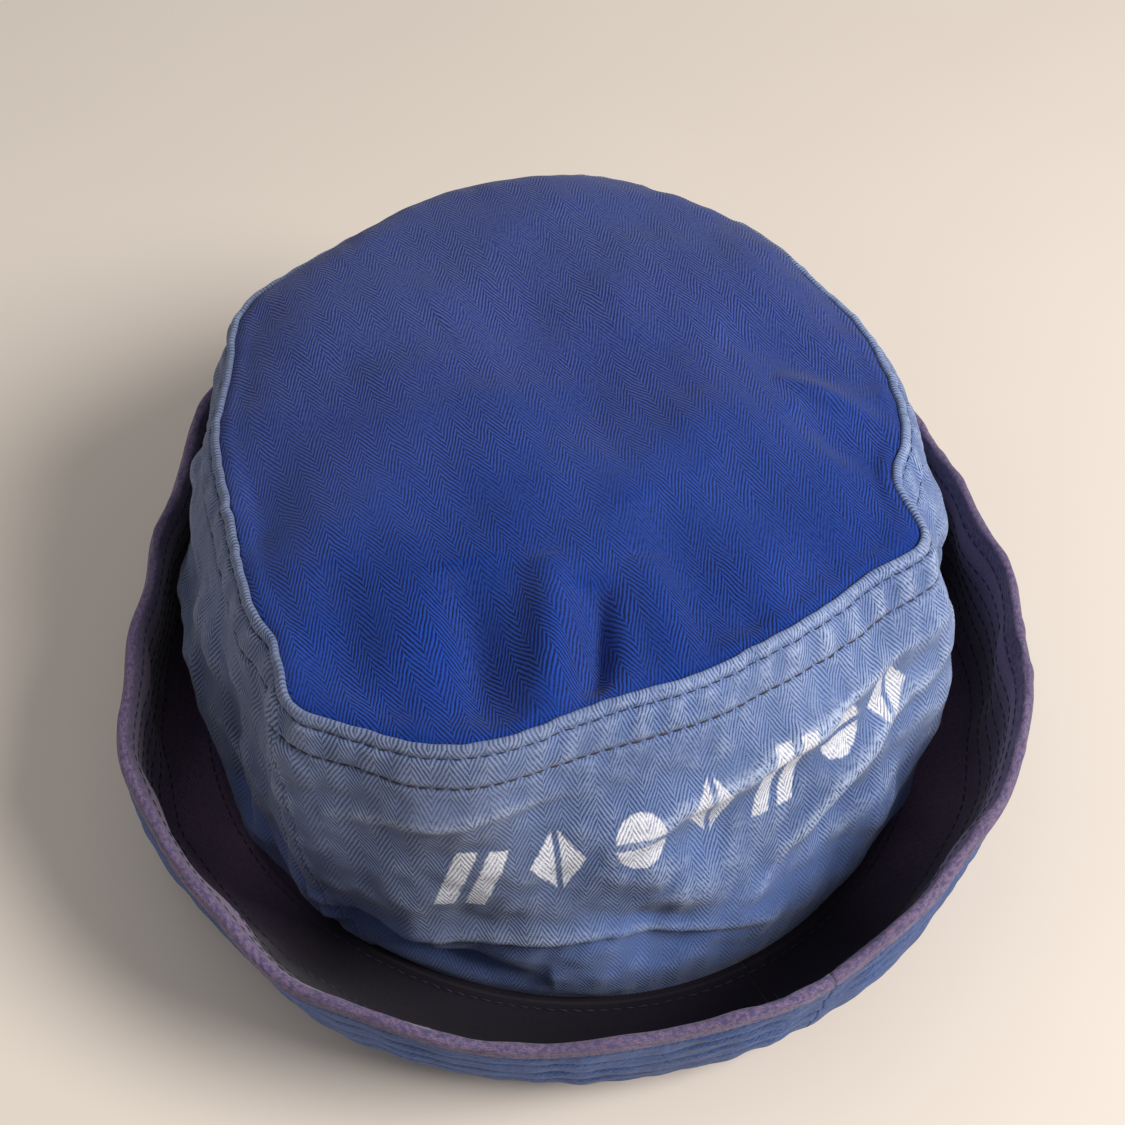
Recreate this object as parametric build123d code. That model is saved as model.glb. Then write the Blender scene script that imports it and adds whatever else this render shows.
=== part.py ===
from build123d import *
import math
import os
from functools import lru_cache
from typing import NamedTuple

# Bucket hat of cotton twill, standing on the fold of its turned-up brim.
# Millimetres, +Z up. The origin is the centre of the head opening, in the plane the hat stands on.
# The printed front of the crown faces -Y and the crown's side seams lie on the X axis.


class Ring(NamedTuple):
    """An oval round the hat: its height, how far it tips, its centre and its half widths."""

    height: float
    tip: float  # degrees, the far end of the long axis up
    shift_long: float
    shift_short: float
    half_long: float
    half_short: float


# Driving dimensions
LONG_AXIS_ANGLE = 45.0  # degrees from +X to the long axis of the ovals, where the crown leans
HEAD_RADIUS = 90.0  # inside of the sweatband, a 565 mm head
SWEATBAND_THICKNESS = 0.9
SWEATBAND_TOP = 30.0
CROWN_CLOTH = 1.0
TOP_CLOTH = 0.9
TAPE_CLOTH = 0.5
TAPE_HALF_WIDTH = 6.0
BRIM_CLOTH = 0.8
PLY_GAP = 0.02
SEAM_GAP = 0.05
TOP_SEAM_HEIGHT = 88.0
SEAM_ALLOWANCE = 10.0
SEAM_TAPE_TOP_DROP = 3.5  # the seam tape's edges, below the top seam and below the allowance's edge
SEAM_TAPE_OVERLAP = 3.0
HAT_HEIGHT = 102.0
DOME_RISE = 14.0
DOME_HALF_WIDTH = 90.0
BRIM_SEAM_ANGLE = 71.0  # degrees from +X to the line through the two brim seams
BRIM_EDGE_HEIGHT = 52.0
BRIM_EDGE_TIP = 2.8
BRIM_SOLE_SLOPE = 20.0  # degrees from level, where the brim's cloth leaves the sole
THREAD_WIDTH = 0.6
THREAD_DEPTH = 0.4
CROWN_EDGE_ROW_DROP = 2.2  # the crown's two rows, below the top seam
CROWN_LOWER_ROW_DROP = 9.0
BRIM_ROW_HEIGHTS = (9.0, 16.0, 23.5, 31.0, 38.5, 45.0)
BRIM_EDGE_ROW_HEIGHT = 49.5
BRIM_JOIN_ROW_OFFSET = 1.6
BRIM_SEAM_ROW_OFFSET = 2.5
BRIM_SEAM_ROW_END = 3.0  # where the seam's rows stop, below the edge row
SIDE_SEAM_ROW_OFFSET = 5.0
SIDE_SEAM_ROW_INSET = 2.0  # how far the side seam's rows stop short of the crown's foot

# Worked out from them
BRIM_PLY = BRIM_CLOTH + PLY_GAP
BRIM_THICKNESS = 3 * BRIM_PLY
CROWN_FOOT = BRIM_THICKNESS + SEAM_GAP
SWEATBAND_RADIUS = HEAD_RADIUS + SWEATBAND_THICKNESS
BRIM_HOLE = SWEATBAND_RADIUS + 0.1
CROWN_FOOT_RADIUS = BRIM_HOLE + SEAM_GAP + CROWN_CLOTH
CROWN_EDGE_ROW_HEIGHT = TOP_SEAM_HEIGHT - CROWN_EDGE_ROW_DROP
CROWN_LOWER_ROW_HEIGHT = TOP_SEAM_HEIGHT - CROWN_LOWER_ROW_DROP
SKIRT_FOOT = TOP_SEAM_HEIGHT - SEAM_ALLOWANCE
REACH = 400.0  # larger than the hat, for cutting slabs

# Outer face of the crown's side, from its foot to above the top seam
CROWN_RINGS = (
    Ring(CROWN_FOOT, 0.0, 0.0, 0.0, CROWN_FOOT_RADIUS, CROWN_FOOT_RADIUS),
    Ring(24.0, 0.0, 1.0, -0.5, 98.0, 95.5),
    Ring(48.0, 0.0, 3.5, -1.5, 99.5, 97.0),
    Ring(80.0, 0.0, 10.5, -3.0, 98.5, 93.0),
    Ring(TOP_SEAM_HEIGHT, 0.0, 12.0, -3.0, 95.5, 87.5),
    Ring(HAT_HEIGHT + 4.0, 0.0, 12.5, -3.0, 85.0, 76.5),
)

# Outer face of the turned-up brim, from the sole it stands on to its edge
BRIM_RINGS = (
    Ring(0.0, 0.0, 0.0, 0.0, 98.5, 98.0),
    Ring(3.0, 0.6, -1.0, -0.5, 107.0, 105.0),
    Ring(11.5, 1.3, -3.5, -1.0, 115.5, 110.5),
    Ring(24.0, 1.9, -6.0, -1.5, 120.5, 112.5),
    Ring(38.0, 2.3, -8.5, -2.0, 122.5, 112.0),
    Ring(BRIM_EDGE_HEIGHT, BRIM_EDGE_TIP, -11.0, -2.5, 122.5, 109.5),
)


def unit_vectors():
    """The horizontal directions of the ovals' long and short axes."""
    turn = math.radians(LONG_AXIS_ANGLE)
    return Vector(math.cos(turn), math.sin(turn), 0), Vector(-math.sin(turn), math.cos(turn), 0)


def ring_plane(ring):
    """The plane of a ring, its x axis along the long axis and tipped with the ring."""
    long_way, short_way = unit_vectors()
    tip = math.radians(ring.tip)
    x_dir = long_way * math.cos(tip) + Vector(0, 0, math.sin(tip))
    centre = long_way * ring.shift_long + short_way * ring.shift_short + Vector(0, 0, ring.height)
    return Plane(origin=centre, x_dir=x_dir, z_dir=x_dir.cross(short_way))


def ring_wire(ring):
    """The oval itself."""
    return (ring_plane(ring) * Ellipse(ring.half_long, ring.half_short)).wire()


def loft_rings(rings):
    """The smooth solid through a stack of rings."""
    return Solid.make_loft([ring_wire(ring) for ring in rings])


@lru_cache
def crown_body(inset):
    """The space inside the crown's side, a given depth in from its outer face."""
    rings = [r._replace(half_long=r.half_long - inset, half_short=r.half_short - inset) for r in CROWN_RINGS]
    return loft_rings(rings)


def sunk_rings(rings, depth):
    """The brim's rings moved square to the cloth, up and in, by a depth."""
    sunk = []
    for index, ring in enumerate(rings):
        before = rings[max(index - 1, 0)]
        after = rings[min(index + 1, len(rings) - 1)]
        slope = math.atan2(after.height - before.height, after.half_long - before.half_long)
        if index == 0:
            slope = math.radians(BRIM_SOLE_SLOPE)
        if index == len(rings) - 1:
            slope = math.pi / 2
        inset = depth * math.sin(slope)
        lift = depth if index == 0 else depth * max(math.cos(slope), 0.0)
        moved = ring._replace(
            height=ring.height + lift,
            half_long=ring.half_long - inset,
            half_short=ring.half_short - inset,
        )
        sunk.append(moved)
    return sunk


@lru_cache
def brim_body(depth):
    """The dish enclosed by the brim, a given depth in from its outer face."""
    return loft_rings(sunk_rings(BRIM_RINGS, depth))


def slab(low, high, tip=0.0):
    """A thick flat plate between two heights, tipped about the ovals' short axis."""
    plane = ring_plane(Ring((low + high) / 2, tip, 0, 0, 1, 1))
    return plane * Box(REACH, REACH, high - low)


def half_space(angle, gap):
    """Everything on the left of the line through the axis at an angle, less half a gap."""
    place = Rot(0, 0, angle) * Pos(0, (REACH + gap) / 2, 0)
    return place * Box(REACH, REACH, REACH)


def crown_shell(outer_inset, inner_inset, low, high):
    """A belt of the crown's side between two depths and two heights."""
    return (crown_body(outer_inset) - crown_body(inner_inset)) & slab(low, high)


def brim_shell(outer_depth, inner_depth):
    """One ply of the whole brim, open in the middle for the head."""
    hole = Cylinder(BRIM_HOLE, REACH)
    return brim_body(outer_depth) - brim_body(inner_depth) - hole


def crown_top():
    """The domed top, with its seam allowance turned down inside the side."""
    radius = (DOME_HALF_WIDTH**2 + DOME_RISE**2) / (2 * DOME_RISE)
    long_way, short_way = unit_vectors()
    top = CROWN_RINGS[-2]
    centre = long_way * top.shift_long + short_way * top.shift_short + Vector(0, 0, HAT_HEIGHT - radius)
    outside = crown_body(CROWN_CLOTH + SEAM_GAP) & (Pos(centre) * Sphere(radius))
    inside = crown_body(CROWN_CLOTH + SEAM_GAP + TOP_CLOTH) & (Pos(centre) * Sphere(radius - TOP_CLOTH))
    return (outside - inside) & slab(SKIRT_FOOT, HAT_HEIGHT + 10)


def crown_sides():
    """The two panels of the side, which meet at the seams on the X axis."""
    side = crown_shell(0.0, CROWN_CLOTH, CROWN_FOOT, TOP_SEAM_HEIGHT)
    return {
        "crown_side_front": side & half_space(180.0, SEAM_GAP),
        "crown_side_back": side & half_space(0.0, SEAM_GAP),
    }


def crown_seam_tape():
    """The tape inside the crown that covers the raw edges of the top seam."""
    outer = CROWN_CLOTH + TOP_CLOTH + 3 * SEAM_GAP
    low = SKIRT_FOOT - SEAM_TAPE_OVERLAP
    return crown_shell(outer, outer + TAPE_CLOTH, low, TOP_SEAM_HEIGHT - SEAM_TAPE_TOP_DROP)


def side_seam_tapes():
    """The tapes inside the crown that cover the raw edges of the side seams."""
    outer = CROWN_CLOTH + SEAM_GAP
    high = SKIRT_FOOT - SEAM_TAPE_OVERLAP - SEAM_GAP
    lining = crown_shell(outer, outer + TAPE_CLOTH, SWEATBAND_TOP + CROWN_CLOTH, high)
    strip = Box(REACH, 2 * TAPE_HALF_WIDTH, REACH)
    tapes = lining & strip
    return {
        "side_seam_tape_left": tapes & half_space(90.0, SEAM_GAP),
        "side_seam_tape_right": tapes & half_space(-90.0, SEAM_GAP),
    }


def tube(inner, outer, low, high):
    """A plain round ring."""
    ring = Cylinder(outer, high - low) - Cylinder(inner, 2 * (high - low))
    return Pos(0, 0, (low + high) / 2) * ring


def sweatband():
    """The band inside the head opening."""
    return tube(HEAD_RADIUS, SWEATBAND_RADIUS, THREAD_DEPTH + PLY_GAP, SWEATBAND_TOP)


def sweatband_stitching():
    """The row that closes the sweatband's lower edge."""
    return tube(HEAD_RADIUS, HEAD_RADIUS + THREAD_WIDTH, 0.0, THREAD_DEPTH)


def brim_plies():
    """Three plies of cloth, each in two halves that meet at the brim seams."""
    pieces = {}
    for number, name in enumerate(("brim_under", "brim_interlining", "brim_upper")):
        outer = number * BRIM_PLY
        ply = brim_shell(outer, outer + BRIM_CLOTH)
        pieces[name + "_left"] = ply & half_space(BRIM_SEAM_ANGLE, SEAM_GAP)
        pieces[name + "_right"] = ply & half_space(BRIM_SEAM_ANGLE + 180.0, SEAM_GAP)
    return pieces


def crown_row(height):
    """A thread round the outside of the crown's side."""
    low = height - THREAD_WIDTH / 2
    return crown_shell(-PLY_GAP - THREAD_DEPTH, -PLY_GAP, low, low + THREAD_WIDTH)


def brim_threads():
    """The skins on both faces of the brim that its threads are cut from."""
    under = brim_body(-PLY_GAP - THREAD_DEPTH) - brim_body(-PLY_GAP)
    upper = brim_body(BRIM_THICKNESS) - brim_body(BRIM_THICKNESS + THREAD_DEPTH)
    return under, upper


def brim_row(height):
    """A row of stitching round the brim, needle thread inside and bobbin thread outside."""
    tip = BRIM_EDGE_TIP * height / BRIM_EDGE_HEIGHT
    cut = slab(height - THREAD_WIDTH / 2, height + THREAD_WIDTH / 2, tip)
    under, upper = brim_threads()
    return Compound([under & cut, upper & cut])


def brim_rows():
    """The parallel rows that stiffen the brim, and the row along its edge."""
    rows = {}
    for number, height in enumerate(BRIM_ROW_HEIGHTS, start=1):
        rows[f"brim_row_stitching_{number}"] = brim_row(height)
    rows["brim_edge_stitching"] = brim_row(BRIM_EDGE_ROW_HEIGHT)
    return rows


def brim_seam_rows():
    """Two short rows beside each brim seam, across the other rows, on the face towards the crown."""
    depth = BRIM_THICKNESS + THREAD_DEPTH + PLY_GAP
    skin = brim_body(depth) - brim_body(depth + THREAD_DEPTH)
    skin = skin & slab(BRIM_ROW_HEIGHTS[1], BRIM_EDGE_ROW_HEIGHT - BRIM_SEAM_ROW_END, BRIM_EDGE_TIP)
    turn = Rot(0, 0, BRIM_SEAM_ANGLE)
    offsets = (-BRIM_SEAM_ROW_OFFSET, BRIM_SEAM_ROW_OFFSET)
    rows = Compound([skin & (turn * Pos(0, y, 0) * Box(REACH, THREAD_WIDTH, REACH)) for y in offsets])
    return {
        "brim_seam_stitching_front": rows & half_space(BRIM_SEAM_ANGLE + 90.0, SEAM_GAP),
        "brim_seam_stitching_back": rows & half_space(BRIM_SEAM_ANGLE - 90.0, SEAM_GAP),
    }


def side_seam_rows():
    """A row in front of each side seam, down the outside of the crown."""
    low = CROWN_FOOT + SIDE_SEAM_ROW_INSET
    skin = crown_shell(-PLY_GAP - THREAD_DEPTH, -PLY_GAP, low, CROWN_LOWER_ROW_HEIGHT - THREAD_WIDTH)
    rows = skin & (Pos(0, -SIDE_SEAM_ROW_OFFSET, 0) * Box(REACH, THREAD_WIDTH, REACH))
    return {
        "side_seam_stitching_left": rows & half_space(90.0, SEAM_GAP),
        "side_seam_stitching_right": rows & half_space(-90.0, SEAM_GAP),
    }


def brim_join_stitching():
    """The row that holds the brim down round the foot of the crown."""
    low = BRIM_THICKNESS
    inner = CROWN_FOOT_RADIUS + BRIM_JOIN_ROW_OFFSET
    return tube(inner, inner + THREAD_WIDTH, low, low + THREAD_DEPTH)


def all_pieces():
    """Every piece by name."""
    pieces = {
        "crown_top": crown_top(),
        "crown_seam_tape": crown_seam_tape(),
        "sweatband": sweatband(),
        "sweatband_stitching": sweatband_stitching(),
        "crown_edge_stitching": crown_row(CROWN_EDGE_ROW_HEIGHT),
        "crown_lower_stitching": crown_row(CROWN_LOWER_ROW_HEIGHT),
        "brim_join_stitching": brim_join_stitching(),
    }
    pieces.update(crown_sides())
    pieces.update(side_seam_tapes())
    pieces.update(side_seam_rows())
    pieces.update(brim_plies())
    pieces.update(brim_rows())
    pieces.update(brim_seam_rows())
    return pieces


os.makedirs("parts", exist_ok=True)
for name, piece in all_pieces().items():
    export_step(piece, f"parts/{name}.step")
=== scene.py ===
import math
from functools import reduce
from typing import NamedTuple
import bpy
import numpy as np
from mathutils import Matrix, Vector


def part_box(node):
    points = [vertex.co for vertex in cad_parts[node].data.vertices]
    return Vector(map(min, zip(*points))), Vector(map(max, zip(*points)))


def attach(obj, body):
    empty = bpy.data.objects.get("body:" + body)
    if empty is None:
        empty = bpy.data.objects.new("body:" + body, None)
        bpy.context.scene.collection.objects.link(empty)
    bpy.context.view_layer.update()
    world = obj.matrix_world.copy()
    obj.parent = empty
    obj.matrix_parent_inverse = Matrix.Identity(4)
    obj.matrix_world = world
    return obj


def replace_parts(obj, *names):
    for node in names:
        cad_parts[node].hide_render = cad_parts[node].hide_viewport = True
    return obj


# A soft bucket hat with its brim turned up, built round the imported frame.
# Shapes are worked out in millimetres, +Z up, and turned into metres where a mesh is made.
# Angles are degrees round the hat's axis: -90 is the printed front, 180 and 0 are the side seams.

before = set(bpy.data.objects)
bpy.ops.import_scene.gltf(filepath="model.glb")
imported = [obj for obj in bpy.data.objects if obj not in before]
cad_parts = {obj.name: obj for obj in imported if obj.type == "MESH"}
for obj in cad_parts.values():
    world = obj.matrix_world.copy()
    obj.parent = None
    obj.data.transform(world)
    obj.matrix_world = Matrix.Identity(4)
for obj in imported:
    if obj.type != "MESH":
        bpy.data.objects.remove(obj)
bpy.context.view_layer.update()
MM = 0.001


# ---- sizes from the frame

def low_z(node):
    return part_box(node)[0][2] / MM


def high_z(node):
    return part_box(node)[1][2] / MM


def row_height(node):
    return (low_z(node) + high_z(node)) / 2


FOOT_Z = low_z("crown_side_front")
SEAM_Z = high_z("crown_side_front")
HAT_TOP = high_z("crown_top")
SWEATBAND_TOP = high_z("sweatband")
BRIM_THICK = low_z("brim_join_stitching")
EDGE_ROW_DROP = SEAM_Z - row_height("crown_edge_stitching")
LOWER_ROW_DROP = SEAM_Z - row_height("crown_lower_stitching")

# ---- the hat's own shape

COLUMNS = 720  # columns of every ring mesh, half a degree each
DEG = np.arange(COLUMNS) * 360.0 / COLUMNS
CROWN_CENTRE = np.array([10.6, 7.1])  # the top seam's centre, because the crown leans away from its front
SIDE_CLOTH = 1.0
TOP_CLOTH = 0.8
BRIM_CLOTH = 0.8
BRIM_ROWS = 7
BRIM_ROW_STEP = 7.5
BRIM_EDGE_ROW = 3.6
BRIM_SEAM = -109.0
SIDE_SEAMS = (("left", 180.0, 1), ("right", 0.0, -1))  # angle, and the way its allowance is pressed
SEAM_ROW_GAP = 5.0  # from a side seam to its row of stitches
SEAM_RADIUS = 92.0  # of the crown at its side seams, to turn mm into degrees
BRIM_RADIUS = 110.0  # the same for the brim's seams


def around(deg, centre, width):
    """A smooth rise of 1 at an angle, falling off over a width, in degrees."""
    gap = (deg - centre + 180.0) % 360.0 - 180.0
    return np.exp(-((gap / width) ** 2))


def wave(deg, count, peak):
    """A cosine with a number of crests round the hat, one of them at the peak angle."""
    return np.cos(np.radians(count * (deg - peak)))


def hill(value, centre, width, power=2):
    """1 where a value is at the centre, falling off over a width; a higher power gives a flatter top."""
    return np.exp(-(((value - centre) / width) ** power))


def ripple(deg, seed, low, high):
    """An uneven wave round the hat of size 1, with between low and high crests, the same for a seed."""
    rng = np.random.default_rng(seed)
    total = np.zeros_like(np.asarray(deg, float))
    for count in range(low, high + 1):
        total = total + rng.normal() * wave(deg, count, rng.uniform(0, 360))
    return total / math.sqrt(high - low + 1)


def polar(radius, deg, z):
    """Points at a radius and height, at angles round the hat's axis."""
    a = np.radians(deg)
    return np.stack([radius * np.cos(a), radius * np.sin(a), z + 0 * a], -1)


def foot_radius(deg):
    return 91.5 + 5.5 * around(deg, -115, 42)


# Where the top seam bulges out or in: size in mm, angle and width in degrees
SEAM_BULGES = (
    (22.0, -158, 32), (-20.0, -129, 41), (7.0, -72, 7), (6.0, 108, 11), (4.5, -170, 7),
    (-2.5, -178, 5), (-3.5, -60, 7), (3.6, -148, 13), (3.0, -117, 12), (2.8, 136, 14),
    (-3.0, 80, 14), (2.4, 40, 10), (-2.0, -8, 10),
)


def top_seam(deg):
    """The seam round the crown's top, with its soft corners."""
    radius = 88.2 + 7.0 * wave(deg, 2, 57)
    for size, centre, width in SEAM_BULGES:
        radius = radius + size * around(deg, centre, width)
    height = SEAM_Z - 0.4 + 0.5 * wave(deg, 3, -150)
    return polar(radius, deg, height) + np.append(CROWN_CENTRE, 0.0)


def brim_edge(deg):
    """Radius and height of the turned-up brim's edge, flared towards the front left."""
    radius = 113.0 + 13.3 * wave(deg, 1, -128) + 8.3 * wave(deg, 2, -128) + 3.5 * wave(deg, 3, -63)
    height = 52.6 + 5.4 * wave(deg, 1, 44) + 2.5 * wave(deg, 2, -50)
    radius = radius + 0.7 * ripple(deg, 3, 9, 22)
    height = height + 0.8 * ripple(deg, 4, 10, 26)
    return radius, height


def unit(v):
    return v / np.maximum(np.linalg.norm(v, axis=-1, keepdims=True), 1e-9)


def grid_normals(points):
    """Outward normals of a ring grid, columns round the hat and rows up the cloth."""
    du = np.roll(points, -1, 0) - np.roll(points, 1, 0)
    dv = np.gradient(points, axis=1)
    return unit(np.cross(du, dv))


def smoothed(grid, times):
    """A ring grid averaged with its neighbours a number of times."""
    edges = ((0, 0), (1, 1)) + ((0, 0),) * (grid.ndim - 2)
    for _ in range(times):
        grid = (np.roll(grid, 1, 0) + np.roll(grid, -1, 0) + 2 * grid) / 4
        padded = np.pad(grid, edges, mode="edge")
        grid = (padded[:, 2:] + padded[:, :-2] + 2 * grid) / 4
    return grid


def length_so_far(line):
    """The length of a line up to each of its points; for a grid of points, up to each point of its rows."""
    steps = np.linalg.norm(np.diff(line, axis=-2), axis=-1)
    return np.concatenate([np.zeros(steps.shape[:-1] + (1,)), np.cumsum(steps, -1)], -1)


def cloth_place(arc, up):
    """Cloth coordinates in mm: round the hat and up the cloth."""
    return np.stack([arc + 0 * up, up + 0 * arc, 0 * arc + 0 * up], -1)


# ---- crown side

SIDE_T = np.concatenate([np.linspace(0.0, 0.78, 74), np.linspace(0.78, 1.0, 62)[1:]])
SIDE_HEIGHT = SEAM_Z - FOOT_Z
SIDE_GIRTH = 97.0  # mean radius that turns an angle of the side into a length of cloth
PRINT_ANGLE = 240.0  # the middle of the printed front, as a column angle
PRINT_ARC = np.radians(DEG[:, None] - PRINT_ANGLE) * SIDE_GIRTH  # cloth from there to every column

# Creases of the side: points as (angle, height), then rise in mm, width above and width below in mm
SIDE_CREASES = (
    (((-131, 51), (-120, 58), (-108, 62), (-92, 66), (-76, 68)), 2.2, 4.0, 2.6),
    (((-124, 47), (-108, 53), (-92, 56), (-74, 58)), -1.8, 6.0, 8.0),
    (((-110, 24), (-104, 36), (-96, 45), (-84, 52), (-74, 55)), 1.7, 4.0, 3.0),
    (((-106, 16), (-96, 34), (-82, 44)), -1.6, 5.0, 7.0),
    (((-160, 25), (-144, 29), (-131, 28), (-117, 22), (-103, 15)), 1.2, 3.5, 1.3),
    (((-166, 60), (-156, 66), (-144, 70), (-134, 69)), 1.1, 3.0, 2.0),
    (((-166, 50), (-152, 58), (-140, 62)), -0.9, 4.0, 5.0),
    (((-166, 20), (-158, 13), (-146, 9), (-137, 10)), -2.6, 5.0, 5.0),
    (((-189, 66), (-191, 45), (-187, 18)), -3.6, 8.0, 8.0),
    (((-203, 70), (-206, 45), (-203, 20)), 1.8, 6.0, 6.0),
    (((-196, 40), (-188, 30), (-182, 12)), 1.4, 3.0, 3.0),
    (((-58, 62), (-54, 40), (-60, 18)), -1.8, 8.0, 8.0),
    (((-45, 20), (-30, 34), (-12, 38)), 1.8, 4.0, 3.0),
    (((-46, 14), (-28, 26), (-10, 31)), -1.6, 6.0, 6.0),
    (((6, 62), (14, 44), (11, 22)), -2.4, 8.0, 8.0),
    (((22, 18), (40, 30), (62, 32), (80, 24)), 1.9, 4.0, 3.0),
    (((30, 52), (48, 60), (70, 58)), 1.5, 4.0, 3.0),
    (((84, 58), (96, 42), (92, 20)), -2.2, 7.0, 7.0),
    (((108, 24), (124, 38), (142, 44), (156, 42)), 1.8, 4.0, 3.0),
    (((112, 16), (130, 28), (148, 34)), -1.5, 6.0, 6.0),
    (((120, 60), (134, 66), (150, 62)), 1.2, 4.0, 3.0),
)


def seam_lean(deg, t):
    """Degrees by which the left side seam swings forward, more towards the foot."""
    return around(deg, 180, 55) * (4.0 + 7.0 * (1 - t))


FIELD_WAVES = 26


def soft_field(x, y, seed, size):
    """Smooth uneven hills of size 1 over a plane, about one size apart."""
    rng = np.random.default_rng(seed)
    total = 0.0
    for _ in range(FIELD_WAVES):
        turn = rng.uniform(0, 2 * math.pi)
        k = 2 * math.pi / (size * rng.uniform(0.7, 1.8))
        total = total + np.cos(k * (x * math.cos(turn) + y * math.sin(turn)) + rng.uniform(0, 6.3))
    return total / math.sqrt(FIELD_WAVES / 2)


def along_line(x, y, line):
    """Signed distance from a bent line, positive on its left, and 1 along it fading to 0 past its ends."""
    best = np.full(np.broadcast(x, y).shape, 1e9)
    signed = np.zeros_like(best)
    share = np.zeros_like(best)
    line = np.asarray(line, float)
    steps = np.linalg.norm(np.diff(line, axis=0), axis=1)
    far = np.concatenate([[0.0], np.cumsum(steps)]) / steps.sum()
    for k in range(len(line) - 1):
        x0, y0 = line[k]
        dx, dy = line[k + 1] - line[k]
        at = np.clip(((x - x0) * dx + (y - y0) * dy) / (dx * dx + dy * dy), 0, 1)
        gap = np.hypot(x - x0 - at * dx, y - y0 - at * dy)
        side = np.sign(dx * (y - y0) - dy * (x - x0))
        near = gap < best
        best = np.where(near, gap, best)
        signed = np.where(near, side * gap, signed)
        share = np.where(near, far[k] + at * (far[k + 1] - far[k]), share)
    return signed, np.clip(np.sin(math.pi * np.clip(share, 0.0, 1.0)), 0, 1) ** 0.6


def crease(x, y, line, size, above, below):
    """The rise of one crease, with a different softness on each of its sides."""
    signed, share = along_line(x, y, line)
    return size * np.exp(-((signed / np.where(signed > 0, above, below)) ** 2)) * share


def side_angle(t):
    """The angle of every column at every row, with the side seam's lean in it."""
    return DEG[:, None] + seam_lean(DEG[:, None], t)


def crown_side_points():
    """The outer face of the side before its seams and creases."""
    t = SIDE_T[None, :]
    theta = side_angle(t)
    foot = polar(foot_radius(theta), theta, FOOT_Z)
    points = foot * (1 - t[..., None]) + top_seam(theta) * t[..., None]
    outward = polar(1.0, theta, 0.0)
    bulge = 7.0 + 3.0 * around(theta, -35, 45) + 0.8 * ripple(theta, 11, 3, 6)
    shape = 4 * t * (1 - t) * (1 + 0.35 * (t - 0.5))
    points = points + outward * (bulge * shape)[..., None]
    pull = np.exp(-((t * SIDE_HEIGHT) / 3.0) ** 2)
    return points - outward * (0.8 * pull)[..., None]


def seam_gap(deg, where):
    """Signed distance round the hat from a seam, in mm."""
    return np.radians((deg - where + 180.0) % 360.0 - 180.0) * SEAM_RADIUS


def side_creases(theta):
    """Rise of the side's creases and rumples, and how worn the creases' ridges are."""
    height = (SIDE_T * SIDE_HEIGHT)[None, :] + 0 * theta
    rise, worn = np.zeros_like(height), np.zeros_like(height)
    for line, size, above, below in SIDE_CREASES:
        middle = sum(p[0] for p in line) / len(line)
        x = np.radians((theta - middle + 180.0) % 360.0 - 180.0) * SIDE_GIRTH
        flat = [(math.radians(p[0] - middle) * SIDE_GIRTH, p[1]) for p in line]
        rise = rise + 1.5 * crease(x, height, flat, size, above, below)
        if size > 0:
            worn = np.maximum(worn, crease(x, height, flat, 1.0, 1.3, 0.9))
    arc = np.radians(theta) * SIDE_GIRTH
    free = np.clip(height / 12, 0, 1) * np.clip((SIDE_HEIGHT - height - 6) / 12, 0, 1)
    rumple = 0.8 * soft_field(arc, height * 0.7, 21, 26.0) + 0.34 * soft_field(arc * 0.6, height, 23, 12.0)
    return rise + rumple * free, worn


def crown_side_surface():
    """The side's outer face with all its relief, its normals, cloth coordinates and wear."""
    points = crown_side_points()
    normals = grid_normals(points)
    theta = side_angle(SIDE_T[None, :])
    height = (SIDE_T * SIDE_HEIGHT)[None, :] + 0 * theta
    drop = SIDE_HEIGHT - height
    rise, worn = side_creases(theta)
    arc = np.radians(theta) * SIDE_GIRTH
    rise = rise + 0.12 * soft_field(arc, height, 22, 6.0) * np.clip(height / 12, 0, 1)
    # the strip between the two rows is puckered over the seam allowance
    slant = DEG[:, None] + 0.2 * drop
    strip = hill(drop, 5.5, 3.3, 4)
    below = hill(drop - LOWER_ROW_DROP, 2.2, 3.2)
    rise = rise + 0.34 * pucker_wave(slant, 31, 45, 76) * strip
    rise = rise + 0.20 * pucker_wave(DEG[:, None] - 0.3 * drop, 32, 30, 60) * below
    rise = rise + 0.6 * strip + 0.25 * hill(drop, 0.9, 0.8)
    wander = 0.15 * ripple(DEG, 33, 20, 60)[:, None]
    for row, depth, width in ((EDGE_ROW_DROP, 0.45, 0.45), (LOWER_ROW_DROP, 0.6, 0.65)):
        rise = rise - depth * hill(drop - row, wander, width)
    for _, seam, way in SIDE_SEAMS:
        gap = seam_gap(DEG[:, None], seam) * way + 0 * drop
        lap = 0.5 * (np.tanh((gap + 0.2) / 0.3) - np.tanh((gap - 6.6) / 0.7))
        shown = np.clip((drop - 1.0) / 3.0, 0, 1)
        rise = rise + (0.75 * lap - 0.9 * hill(gap, -0.3, 0.6)) * shown
        rise = rise - 0.4 * hill(gap, SEAM_ROW_GAP, 0.5) * shown
        rise = rise + 0.3 * lap * shown * ripple(SIDE_T * 360, 41, 6, 14)[None, :]
        worn = np.maximum(worn, 0.7 * hill(gap, 0.5, 0.7) * shown)
    points = points + normals * rise[..., None]
    worn = np.maximum(worn, 0.4 * hill(drop, 0.5, 0.7))
    facets = np.clip(pucker_wave(slant, 31, 45, 76) * 0.5, 0, 1) * strip
    worn = np.clip(0.8 * worn + 0.5 * facets, 0, 1)
    cloth = cloth_place(PRINT_ARC, height)
    return points, grid_normals(points), cloth, worn


def pucker_wave(deg, seed, low, high):
    """Puckers beside a row of stitches: uneven waves with sharper valleys than crests."""
    value = ripple(deg, seed, low, high)
    return value - 0.25 * value**2


# ---- crown top

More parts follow.
